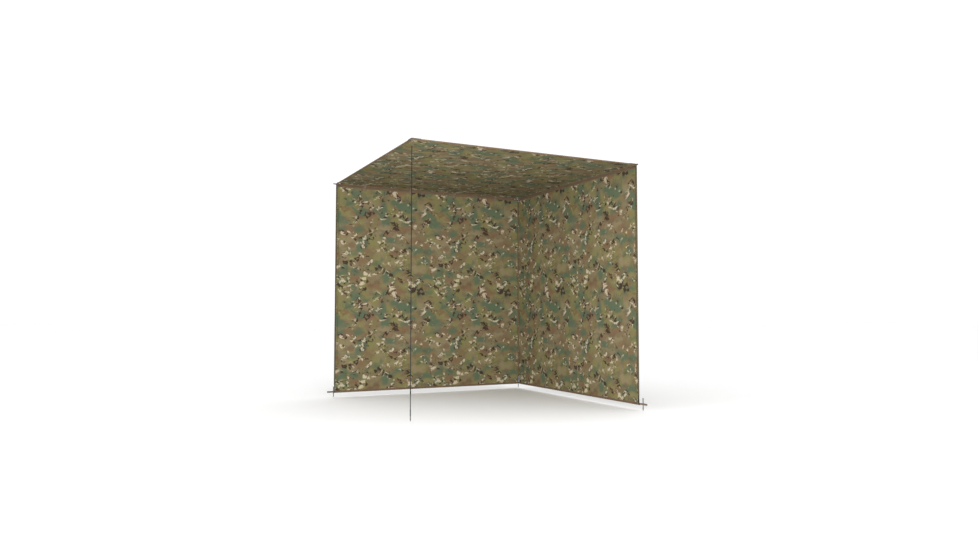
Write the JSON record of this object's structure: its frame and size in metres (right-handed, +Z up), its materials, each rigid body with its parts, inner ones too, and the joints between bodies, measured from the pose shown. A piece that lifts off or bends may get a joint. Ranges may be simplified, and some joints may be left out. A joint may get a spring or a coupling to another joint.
{
  "type": "field blind",
  "caption": "Open corner field blind with two camouflage fabric walls, a flat roof on slim poles, a free front pole and ground stakes.",
  "frame": {"origin": "centre of the whole footprint, level with the stake tips", "axes": "+X along the back wall from its free end to the corner pole, +Y out through the back wall, +Z up"},
  "size_m": [2.096, 2.1446, 2.0492],
  "materials": {
    "print_fabric": "matte",
    "hem_fabric": "matte",
    "sleeve_fabric": "matte",
    "webbing_brown": "matte",
    "tube_black": "satin",
    "ferrule_black": "satin",
    "spigot_alloy": "satin",
    "spike_steel": "satin",
    "stake_steel": "brushed",
    "pin_steel": "brushed",
    "cap_black": "matte",
    "hub_nylon": "matte",
    "tip_rubber": "matte"
  },
  "bodies": {
    "back_wall": {"back_wall_panel": "print_fabric", "back_wall_top_hem": "hem_fabric", "back_wall_bottom_hem": "hem_fabric", "left_pole_sleeve": "sleeve_fabric", "back_wall_corner_sleeve": "sleeve_fabric", "roof_hinge_loops": "webbing_brown", "left_pole": "tube_black", "corner_pole": "tube_black", "back_pole_spigots": "spigot_alloy", "left_pole_ferrule": "ferrule_black", "corner_pole_ferrule": "ferrule_black", "left_pole_cap": "cap_black", "corner_pole_cap": "cap_black", "left_stake_loop": "webbing_brown", "corner_stake_loop": "webbing_brown"},
    "side_wall": {"side_wall_panel": "print_fabric", "side_wall_top_hem": "hem_fabric", "side_wall_bottom_hem": "hem_fabric", "side_wall_corner_sleeve": "sleeve_fabric", "right_pole_sleeve": "sleeve_fabric", "right_pole": "tube_black", "right_pole_spigots": "spigot_alloy", "right_pole_ferrule": "ferrule_black", "right_pole_cap": "cap_black", "right_stake_loop": "webbing_brown"},
    "roof": {"roof_panel": "print_fabric", "roof_back_sleeve": "sleeve_fabric", "roof_front_sleeve": "sleeve_fabric", "roof_left_sleeve": "sleeve_fabric", "roof_right_sleeve": "sleeve_fabric", "roof_corner_patches": "hem_fabric", "roof_back_rod": "tube_black", "roof_front_rod": "tube_black", "roof_left_rod": "tube_black", "roof_right_rod": "tube_black", "roof_rod_spigots": "spigot_alloy", "left_hub": "hub_nylon", "corner_hub": "hub_nylon", "right_hub": "hub_nylon", "front_hub": "hub_nylon", "front_pivot_pin": "pin_steel", "back_rod_tip": "tip_rubber"},
    "front_pole": {"front_pole": "tube_black", "front_pole_spigots": "spigot_alloy", "front_pole_ferrule": "ferrule_black", "front_pole_knuckle": "hub_nylon"},
    "left_spike": {"left_spike": "spike_steel"},
    "corner_spike": {"corner_spike": "spike_steel"},
    "right_spike": {"right_spike": "spike_steel"},
    "front_spike": {"front_spike": "spike_steel"},
    "left_stake": {"left_stake": "stake_steel"},
    "corner_stake": {"corner_stake": "stake_steel"},
    "right_stake": {"right_stake": "stake_steel"}
  },
  "joints": [
    {"name": "side_wall_swing", "type": "hinge", "parent": "back_wall", "child": "side_wall", "pos_m": [1.018, 1.0507, 1.042], "axis": [0, 0, 1], "range_deg": [-85, 90]},
    {"name": "roof_flip", "type": "hinge", "parent": "back_wall", "child": "roof", "pos_m": [0.018, 1.0507, 2.042], "axis": [-1, 0, 0], "range_deg": [0, 180]},
    {"name": "front_pole_fold", "type": "hinge", "parent": "roof", "child": "front_pole", "pos_m": [-0.982, -0.9843, 2.022], "axis": [0, -1, 0], "range_deg": [-20, 90]},
    {"name": "left_spike_pull", "type": "slide", "parent": "back_wall", "child": "left_spike", "axis": [0, 0, -1], "range_m": [0, 0.04]},
    {"name": "corner_spike_pull", "type": "slide", "parent": "back_wall", "child": "corner_spike", "axis": [0, 0, -1], "range_m": [0, 0.04]},
    {"name": "right_spike_pull", "type": "slide", "parent": "side_wall", "child": "right_spike", "axis": [0, 0, -1], "range_m": [0, 0.04]},
    {"name": "front_spike_pull", "type": "slide", "parent": "front_pole", "child": "front_spike", "axis": [0, 0, -1], "range_m": [0, 0.04]},
    {"name": "left_stake_slide", "type": "slide", "parent": "back_wall", "child": "left_stake", "axis": [0, 0, 1], "range_m": [-0.03, 0.08]},
    {"name": "corner_stake_slide", "type": "slide", "parent": "back_wall", "child": "corner_stake", "axis": [0, 0, 1], "range_m": [-0.03, 0.08]},
    {"name": "right_stake_slide", "type": "slide", "parent": "side_wall", "child": "right_stake", "axis": [0, 0, 1], "range_m": [-0.03, 0.08]}
  ]
}
